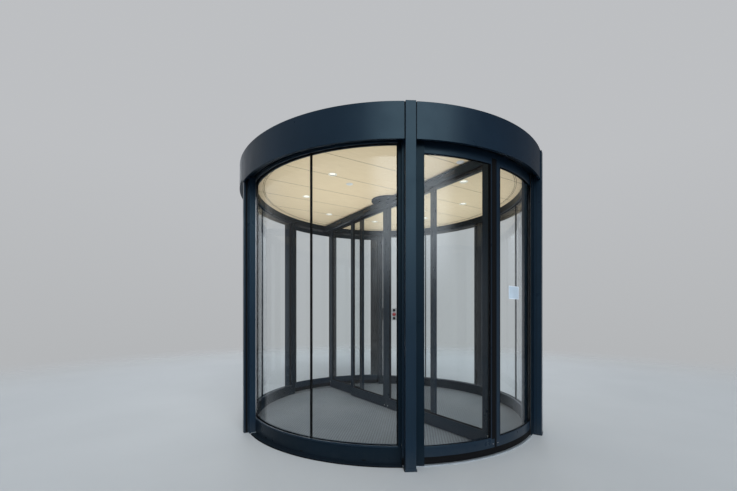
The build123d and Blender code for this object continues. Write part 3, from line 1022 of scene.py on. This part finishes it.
def roof_fittings():
    """Sheet seams, hatches, screws and cable inlet on the roof."""
    hatches = ((-0.62, 0.5), (0.62, -0.5))
    hatch_rise = 0.009

    def seams(bm):
        roof = Matrix.Translation((0, 0, roof_top))
        for y in (-1.0, 0.0, 1.0):
            half = ((drum_radius - 0.06) ** 2 - y ** 2) ** 0.5
            for half_width, rise in ((0.014, 0.0016), (0.004, 0.012)):
                prism(bm, block((-half, half), (y - half_width, y + half_width)), roof, rise)
    make_piece("roof_seams", "drum", paint, seams)

    def hatch(bm):
        for centre in hatches:
            place = Matrix.Translation((*centre, roof_top))
            prism(bm, rounded(0.72, 0.52, 0.03, 5), place, 0.004)
            prism(bm, rounded(0.68, 0.48, 0.02, 5), place, hatch_rise)
    make_piece("roof_hatches", "drum", paint, hatch)

    def screws(bm):
        for i in range(48):
            bearing = 360 * (i + 0.5) / 48
            if all(abs((bearing - post + 180) % 360 - 180) > 2.6 for post in post_bearings):
                screw(bm, facing_up(bearing, drum_radius - 0.035, roof_top), 0.006)
        for hatch_x, hatch_y in hatches:
            for x in (-0.31, 0, 0.31):
                for y in (-0.21, 0.21):
                    place = Matrix.Translation((hatch_x + x, hatch_y + y, roof_top + hatch_rise))
                    screw(bm, place, 0.006)
    make_piece("roof_screws", "drum", stainless, screws)

    def inlet(bm):
        gland = [(0, 0.016), (0.014, 0.016), (0.020, 0.014), (0.022, 0.006), (0.034, 0.004),
                 (0.036, 0), (0, 0)]
        lathe(bm, gland, Matrix.Translation((0.0, 1.45, roof_top)), 32)
    make_piece("cable_inlet", "drum", rubber, inlet)


def facade_seals():
    """Glazing gaskets along both sides of the facade posts' tongues."""
    along, beside = (1.950, 1.972), (0.030, 0.0365)
    foot = Matrix.Translation((0, 0, 0.004))

    def build(bm):
        for way in (-1, 1):
            for side in (-1, 1):
                outline = block(reach(0, way, *along), reach(0, side, *beside))
                prism(bm, outline, foot, soffit - 0.006)
    make_piece("facade_gaskets", "drum", rubber, build)


wall_seals()
wall_beads()
wall_fittings()
sign()
floor_fittings()
post_fittings()
control_boxes()
for name, (middle, side) in corners.items():
    curved_door_fittings(name, middle, side)
jamb_brushes()
opening_sensors()
for name, bearing in wings.items():
    wing_fittings(name, bearing)
    leaf_fittings(name, bearing)
header_fittings()
ceiling_fittings()
canopy_seals()
roof_fittings()
facade_seals()


# Studio

def studio_floor():
    """Pale floor that takes the object's shadow and fades into the surroundings."""
    bm = bmesh.new()
    bmesh.ops.create_circle(bm, cap_ends=True, segments=96, radius=14)
    mesh = bpy.data.meshes.new("studio_floor")
    bm.to_mesh(mesh)
    bm.free()
    material, tree, shader, place = start_material("studio_floor", 0.65)
    shade = shades(tree, noise(tree, place, 0.8, 4.0),
                   (0.3, (0.435, 0.447, 0.458)), (0.7, (0.460, 0.472, 0.483)))
    feed(tree, shader, colour=shade)
    distance = vector_math(tree, "LENGTH", place)
    fade = spread(tree, distance, 0.0, 1.0, 5.0, 12.5, "SMOOTHERSTEP")
    clear = add_node(tree, "BsdfTransparent").outputs[0]
    mixed = add_node(tree, "MixShader", {0: fade, 1: shader.outputs[0], 2: clear}).outputs[0]
    tree.links.new(mixed, tree.nodes["Material Output"].inputs["Surface"])
    mesh.materials.append(material)
    floor = bpy.data.objects.new("studio_floor", mesh)
    floor.location.z = -0.0005
    bpy.context.scene.collection.objects.link(floor)


def light_field(tree, direction, bearing, half_width, strength):
    """Tall field of light with soft edges in the surroundings, round a bearing."""
    level = vector_math(tree, "MULTIPLY", direction, (1, 1, 0))
    heading = vector_math(tree, "NORMALIZE", level)
    aim = (cos(radians(bearing)), sin(radians(bearing)), 0)
    along = vector_math(tree, "DOT_PRODUCT", heading, aim)
    height = add_node(tree, "SeparateXYZ", {"Vector": direction}).outputs["Z"]
    inner, outer = (cos(radians(half_width * share)) for share in (0.35, 1.0))
    edges = ((along, outer, inner), (height, 0.0, 0.30), (height, 0.98, 0.72))
    field = strength
    for value, dark, full in edges:
        soft = spread(tree, value, 0.0, 1.0, dark, full, "SMOOTHERSTEP")
        field = number_math(tree, "MULTIPLY", soft, field)
    return field


def studio_light():
    """Pale surroundings, darker to the right, two soft fields of light and a lit ceiling."""
    world = bpy.data.worlds.new("studio")
    world.use_nodes = True
    tree = world.node_tree
    background = tree.nodes["Background"]
    direction = add_node(tree, "TexCoord").outputs["Generated"]
    height = add_node(tree, "SeparateXYZ", {"Vector": direction}).outputs["Z"]
    raised = spread(tree, height, 0.0, 1.0, -0.12, 0.35)
    sky = shades(tree, raised, (0.0, (0.78, 0.80, 0.82)), (1.0, (0.88, 0.90, 0.93)))
    tree.links.new(sky, background.inputs["Color"])
    front_field = light_field(tree, direction, bearing=-106, half_width=36, strength=4.6)
    back_field = light_field(tree, direction, bearing=62, half_width=42, strength=1.2)
    fields = number_math(tree, "ADD", front_field, back_field)
    seen = add_node(tree, "LightPath").outputs["Is Camera Ray"]
    not_seen = number_math(tree, "SUBTRACT", 1.0, seen)
    unseen = number_math(tree, "MULTIPLY", fields, not_seen)
    right_field = light_field(tree, direction, bearing=-22, half_width=62, strength=0.42)
    card = number_math(tree, "MULTIPLY", right_field, not_seen)
    tree.links.new(number_math(tree, "SUBTRACT", 0.58, card), background.inputs["Strength"])
    glow = add_node(tree, "Background",
                    {"Color": (0.86, 0.94, 1.0, 1), "Strength": unseen}).outputs[0]
    both = add_node(tree, "AddShader", {0: background.outputs[0], 1: glow}).outputs[0]
    tree.links.new(both, tree.nodes["World Output"].inputs["Surface"])
    bpy.context.scene.world = world

    light = bpy.data.lights.new("bounce", "AREA")
    light.size = 2.4
    light.energy = 120
    bounce = bpy.data.objects.new("bounce", light)
    bounce.location.z = 0.05
    bounce.rotation_euler.x = pi
    bounce.visible_camera = False
    bounce.visible_glossy = False
    bounce.visible_transmission = False
    bpy.context.scene.collection.objects.link(bounce)
    lit = bpy.data.collections.new("ceiling_lit")
    for name in ("ceiling_seams", "ceiling_sensors", "lamp_trims"):
        lit.objects.link(bpy.data.objects[name])
    lit.objects.link(frame["nodes"]["ceiling"])
    bounce.light_linking.receiver_collection = lit


def photo_camera():
    """Camera at the photograph's place: eye height, level, with the picture shifted up."""
    camera = bpy.data.cameras.new("photo")
    camera.sensor_width = 36
    camera.lens = 16.85
    camera.shift_y = 0.0948
    seen = bpy.data.objects.new("photo", camera)
    seen.location = (-2.757, -4.171, 1.353)
    seen.rotation_euler = (radians(90), 0, radians(-30.37))
    bpy.context.scene.collection.objects.link(seen)
    bpy.context.scene.camera = seen


studio_floor()
studio_light()
photo_camera()
bpy.context.scene.view_settings.view_transform = "Standard"
